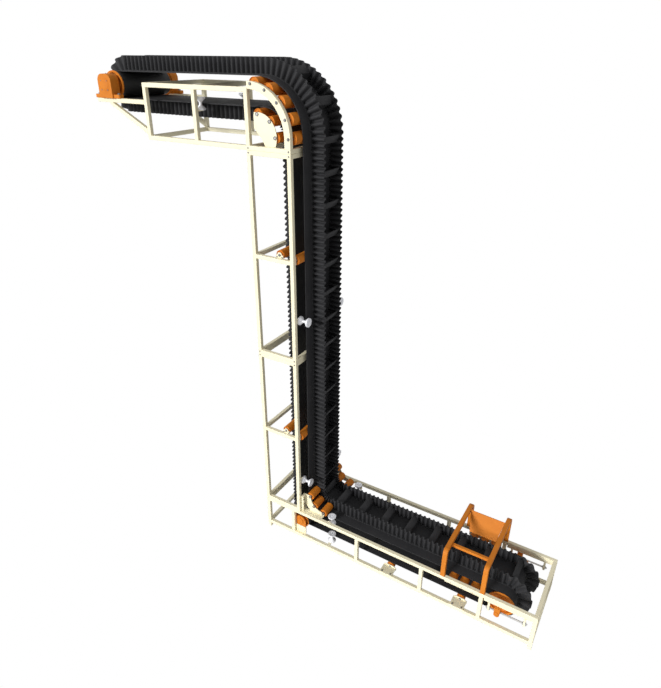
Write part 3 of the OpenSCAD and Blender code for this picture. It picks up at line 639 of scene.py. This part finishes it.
def make_bolts():
    """Bolts and nuts. Paint 1 is cream and 2 orange, on bolts that are painted over."""
    bm = bmesh.new()
    for side in (-1, 1):
        out = (0, side, 0)
        # Axle ends of the rollers in the arches, return plates and lower bow
        for i in range(1, 6):
            place = axis_of[f"bend_roller_{i}"]
            add_bolt(bm, (place.x, side * SIDE_Y, place.z), out, AXLE_BOLT)
        for i in range(1, 4):
            for name, face in (("head_return_roller", IN_Y), ("lower_bend_roller", BOW_Y)):
                place = axis_of[f"{name}_{i}"]
                spot = (place.x, side * (face + PLATE), place.z)
                add_nut(bm, spot, out, AXLE_NUT_HOLE, AXLE_NUT, AXLE_NUT_H)
        # Brackets of the stub rollers on the tower
        for name in ("tower_roller_3", "tower_roller_4"):
            place = axis_of[name]
            add_bolt(bm, (place.x, side * (IN_Y + PLATE + ON_FACE), place.z), out, AXLE_BOLT)
            for shift in (-BRACKET_BOLT_X, BRACKET_BOLT_X):
                spot = (place.x + shift, side * (IN_Y + PLATE), place.z - BRACKET_BOLT_Z)
                add_bolt(bm, spot, out, SMALL_BOLT)
        # Stands of the return rollers
        for name in ("return_roller_1", "return_roller_2"):
            place = axis_of[name]
            stand = RETURN_STUB + END_GAP + PLATE
            add_bolt(bm, (place.x, side * (stand + ON_FACE), place.z), out, AXLE_BOLT)
            foot_top = FLOOR_Z + FOOT_H + TUBE + PLATE
            for shift in (-STAND_BOLT_X, STAND_BOLT_X):
                spot = (place.x + shift, side * (SIDE_Y - TUBE / 2), foot_top)
                add_bolt(bm, spot, (0, 0, 1), STAND_BOLT)
        # Feet of the pillow blocks
        low, _ = in_box("head_bearings")
        for shift in (-PILLOW_BOLT_X, PILLOW_BOLT_X):
            spot = (head.x + shift, side * (IN_Y + PILLOW_BOLT_Y), low.z + PILLOW_BASE)
            add_bolt(bm, spot, (0, 0, 1), PILLOW_BOLT)
        # Corner bearing, and its pedestal
        for angle in (35, 90, 145):
            turn = math.radians(angle)
            spot = (corner.x + CORNER_BOLT_RING * math.cos(turn), side * IN_Y,
                    corner.y + CORNER_BOLT_RING * math.sin(turn))
            add_bolt(bm, spot, out, PEDESTAL_BOLT, 2)
        low, high = in_box("corner_drum_plates")
        for x in (low.x + PLATE_BOLT_IN, high.x - PLATE_BOLT_IN):
            for z in (low.z + PLATE_BOLT_IN, high.z - PLATE_BOLT_IN):
                add_bolt(bm, (x, side * (IN_Y + PLATE), z), out, PEDESTAL_BOLT, 1)
        # Impact rollers' beams on the inner faces of the posts
        for i in range(1, 4):
            place = axis_of[f"impact_roller_{i}"]
            add_bolt(bm, (place.x, side * (IN_Y + ON_FACE), place.z), out, BEAM_BOLT)
        # Tower joint and head joint: bolts through the stacked tubes
        for node in ("tower_upper_near", "head_frame_near"):
            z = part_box(node)[0][2]
            for x in (TOWER_X + TUBE / 2, tower_high[0] - TUBE / 2):
                for shift in (-JOINT_BOLT_Z, JOINT_BOLT_Z):
                    add_bolt(bm, (x, side * SIDE_Y, z + shift), out, SMALL_BOLT)
    # Edge of the hopper's sloping plate
    low, high = in_box("hopper_chute")
    for k in range(4):
        x = low.x + (k + 0.5) * (high.x - low.x) / 4
        add_bolt(bm, (x, high.y - 0.012, high.z - 0.030), (0, -1, 0.45), CHUTE_BOLT, 2)
    finish_mesh("bolts_and_nuts", bm, [ZINC, CREAM, ORANGE], "frame")


def make_caps():
    """Covers of the bearings, and the head blocks' grease nipples and cap screws."""
    head_high = in_box("head_bearings")[1]
    tail_high = in_box("tail_bearings")[1]
    bm = bmesh.new()
    for side in (-1, 1):
        out = (0, side, 0)
        cap = [(0.0, 0.098), (0.003, 0.098), (0.003, 0.078), (0.0065, 0.074), (0.0085, 0.060),
               (0.0085, 0.0)]
        add_lathe(bm, (head.x, side * head_high.y, head.y), out, painted(cap), 44)
        cap = [(0.0, 0.041), (0.005, 0.041), (0.008, 0.036), (0.008, 0.0)]
        add_lathe(bm, (tail.x, side * tail_high.y, tail.y), out, painted(cap), 32)
        cap = [(0.0, 0.066), (0.010, 0.062), (0.016, 0.050), (0.016, 0.0)]
        add_lathe(bm, (corner.x, side * (IN_Y + ON_FACE), corner.y), out, painted(cap), 36)
    finish_mesh("bearing_caps", bm, [ORANGE], "frame")
    nipple = [(0.0, 0.0), (0.0, 0.008), (0.006, 0.008), (0.006, 0.004), (0.0075, 0.005),
              (0.0095, 0.002), (0.0095, 0.0)]
    screw = [(0, 0.008), (0.005, 0.008), (0.005, 0)]
    bm = bmesh.new()
    for side in (-1, 1):
        spot = (head.x, side * (SIDE_Y - 0.005), head_high.z - ON_FACE)
        add_lathe(bm, spot, (0, 0, 1), painted(nipple), 12)
        for k in range(4):
            turn = math.radians(45 + 90 * k)
            spot = (head.x + CAP_SCREW_RING * math.cos(turn), side * (head_high.y + 0.003),
                    head.y + CAP_SCREW_RING * math.sin(turn))
            add_lathe(bm, spot, (0, side, 0), painted(screw), 6)
    finish_mesh("bearing_fittings", bm, [ZINC], "frame")


def make_threads():
    """The take-up's threaded rods, with nuts on both faces of their end plates."""
    low, high = in_box("take_up_screws")
    right_plate = in_box("take_up_guides")[1].x - SCREW_PLATE_IN
    screw_y = SIDE_Y - TUBE / 2
    rods = bmesh.new()
    nuts = bmesh.new()
    for side in (-1, 1):
        for start, end in ((low.x, tail.x - TAIL_BLOCK_R), (tail.x + TAIL_BLOCK_R, high.x)):
            count = int((end - start) / THREAD_PITCH)
            rows = [(0, 0), (0, SCREW_R - 0.003)]
            for k in range(1, count):
                depth = 0.0 if k % 2 else THREAD_DEPTH
                rows.append(((end - start) * k / count, SCREW_R - depth))
            rows += [(end - start, SCREW_R - 0.003), (end - start, 0)]
            spot = (start, side * screw_y, tail.y)
            add_lathe(rods, spot, (1, 0, 0), painted(rows), 18)
        for plate_x in (low.x + SCREW_PLATE, right_plate):
            for face, way in ((plate_x - 0.0002, -1), (plate_x + SCREW_PLATE + 0.0002, 1)):
                spot = (face, side * screw_y, tail.y)
                add_nut(nuts, spot, (way, 0, 0), SCREW_R, SCREW_NUT, SCREW_NUT_H)
    finish_mesh("take_up_threads", rods, [SHAFT], "frame", ["take_up_screws"])
    finish_mesh("take_up_nuts", nuts, [ZINC], "frame")


def post_joints():
    """Where posts meet chords: x of the post's left face, and the height of the chord's face."""
    lower_high = in_box("lower_frame_near")[1]
    posts = [TOWER_X + x for x in LOWER_POSTS] + [lower_high.x - TUBE]
    rows = [(x, FLOOR_Z + FOOT_H, lower_high.z) for x in posts]
    for node in ("tower_lower_near", "tower_upper_near"):
        low, high = in_box(node)
        rows += [(x, low.z, high.z) for x in (low.x, high.x - TUBE)]
    low, high = in_box("head_frame_near")
    rows += [(x, low.z, high.z) for x in (low.x, TOWER_X + HEAD_POST, TOWER_X)]
    joints = []
    for x, bottom, top in rows:
        joints += [(x, bottom + TUBE), (x, top - TUBE)]
    return joints


def make_welds():
    inner, outer = IN_Y + WELD_IN, SIDE_Y - WELD_IN
    bm = bmesh.new()
    for side in (-1, 1):
        for x, z in post_joints():
            for edge in (x, x + TUBE):
                add_bead(bm, (edge, side * inner, z), (edge, side * outer, z))
            face = side * (SIDE_Y - 0.0008)
            add_bead(bm, (x + WELD_IN, face, z), (x + TUBE - WELD_IN, face, z), FACE_WELD_R)
        top = in_box("lower_frame_near")[1].z
        for node in ("hopper_portal_left", "hopper_portal_right"):
            for x in (in_box(node)[0].x, in_box(node)[1].x):
                add_bead(bm, (x, side * inner, top), (x, side * outer, top), paint=1)
    finish_mesh("weld_beads", bm, [CREAM, ORANGE], "frame", crease=60)


make_bolts()
make_caps()
make_threads()
make_welds()


# Camera, floor and light. The world lights the model at its room level, and is white to the
# rays that see it as the background.

FLOOR_HALF = 60
ROOM_LIGHT = 0.30
WHITE = 1.0


def make_camera():
    data = bpy.data.cameras.new("camera")
    data.sensor_fit = "AUTO"
    data.sensor_width = SENSOR_MM
    data.lens = FOCAL_PIXELS / LONG_SIDE_PIXELS * SENSOR_MM
    camera = bpy.data.objects.new("camera", data)
    bpy.context.scene.collection.objects.link(camera)
    turn = Matrix.Rotation(math.radians(YAW), 4, "Z")
    turn = turn @ Matrix.Rotation(math.radians(90 + PITCH), 4, "X")
    turn = turn @ Matrix.Rotation(math.radians(ROLL), 4, "Z")
    x, y, z = CAMERA_FROM_TOWER
    camera.matrix_world = Matrix.Translation((TOWER_X + x, y - SIDE_Y, z)) @ turn
    bpy.context.scene.camera = camera


def background_share(tree):
    """1 for the rays that see the background: the camera's, and those that a shiny or clear
    surface sends on."""
    rays = tree.nodes.new("ShaderNodeLightPath")
    share = rays.outputs["Is Camera Ray"]
    for kind in ("Is Glossy Ray", "Is Transmission Ray"):
        either = tree.nodes.new("ShaderNodeMath")
        either.operation = "MAXIMUM"
        tree.links.new(share, either.inputs[0])
        tree.links.new(rays.outputs[kind], either.inputs[1])
        share = either.outputs["Value"]
    return share


def make_floor():
    size = FLOOR_HALF
    mesh = bpy.data.meshes.new("floor")
    corners = [(x * size, y * size, FLOOR_Z) for x, y in ((-1, -1), (1, -1), (1, 1), (-1, 1))]
    mesh.from_pydata(corners, [], [(0, 1, 2, 3)])
    floor = bpy.data.objects.new("floor", mesh)
    bpy.context.scene.collection.objects.link(floor)
    material = bpy.data.materials.new("floor")
    material.use_nodes = True
    tree = material.node_tree
    shader = tree.nodes["Principled BSDF"]
    shader.inputs["Base Color"].default_value = (0.86, 0.86, 0.86, 1)
    shader.inputs["Roughness"].default_value = 0.9
    glow = tree.nodes.new("ShaderNodeEmission")
    glow.inputs["Color"].default_value = (1, 1, 1, 1)
    glow.inputs["Strength"].default_value = WHITE
    mix = tree.nodes.new("ShaderNodeMixShader")
    tree.links.new(background_share(tree), mix.inputs[0])
    tree.links.new(shader.outputs["BSDF"], mix.inputs[1])
    tree.links.new(glow.outputs["Emission"], mix.inputs[2])
    tree.links.new(mix.outputs["Shader"], tree.nodes["Material Output"].inputs["Surface"])
    mesh.materials.append(material)


def make_world():
    world = bpy.data.worlds.new("studio")
    bpy.context.scene.world = world
    world.use_nodes = True
    tree = world.node_tree
    background = tree.nodes["Background"]
    background.inputs["Color"].default_value = (1, 1, 1, 1)
    level = tree.nodes.new("ShaderNodeMapRange")
    level.inputs["To Min"].default_value = ROOM_LIGHT
    level.inputs["To Max"].default_value = WHITE
    tree.links.new(background_share(tree), level.inputs["Value"])
    tree.links.new(level.outputs["Result"], background.inputs["Strength"])


def make_sun(name, source, strength, spread):
    data = bpy.data.lights.new(name, "SUN")
    data.energy = strength
    data.angle = math.radians(spread)
    lamp = bpy.data.objects.new(name, data)
    bpy.context.scene.collection.objects.link(lamp)
    aim = (-Vector(source)).to_track_quat("-Z", "Y")
    lamp.matrix_world = Matrix.Translation(source) @ aim.to_matrix().to_4x4()


make_camera()
make_floor()
make_world()
make_sun("key", (-4, -13, 4.5), strength=3.0, spread=14)
make_sun("top", (3, -4, 10), strength=0.35, spread=40)
bpy.context.scene.view_settings.view_transform = "Standard"
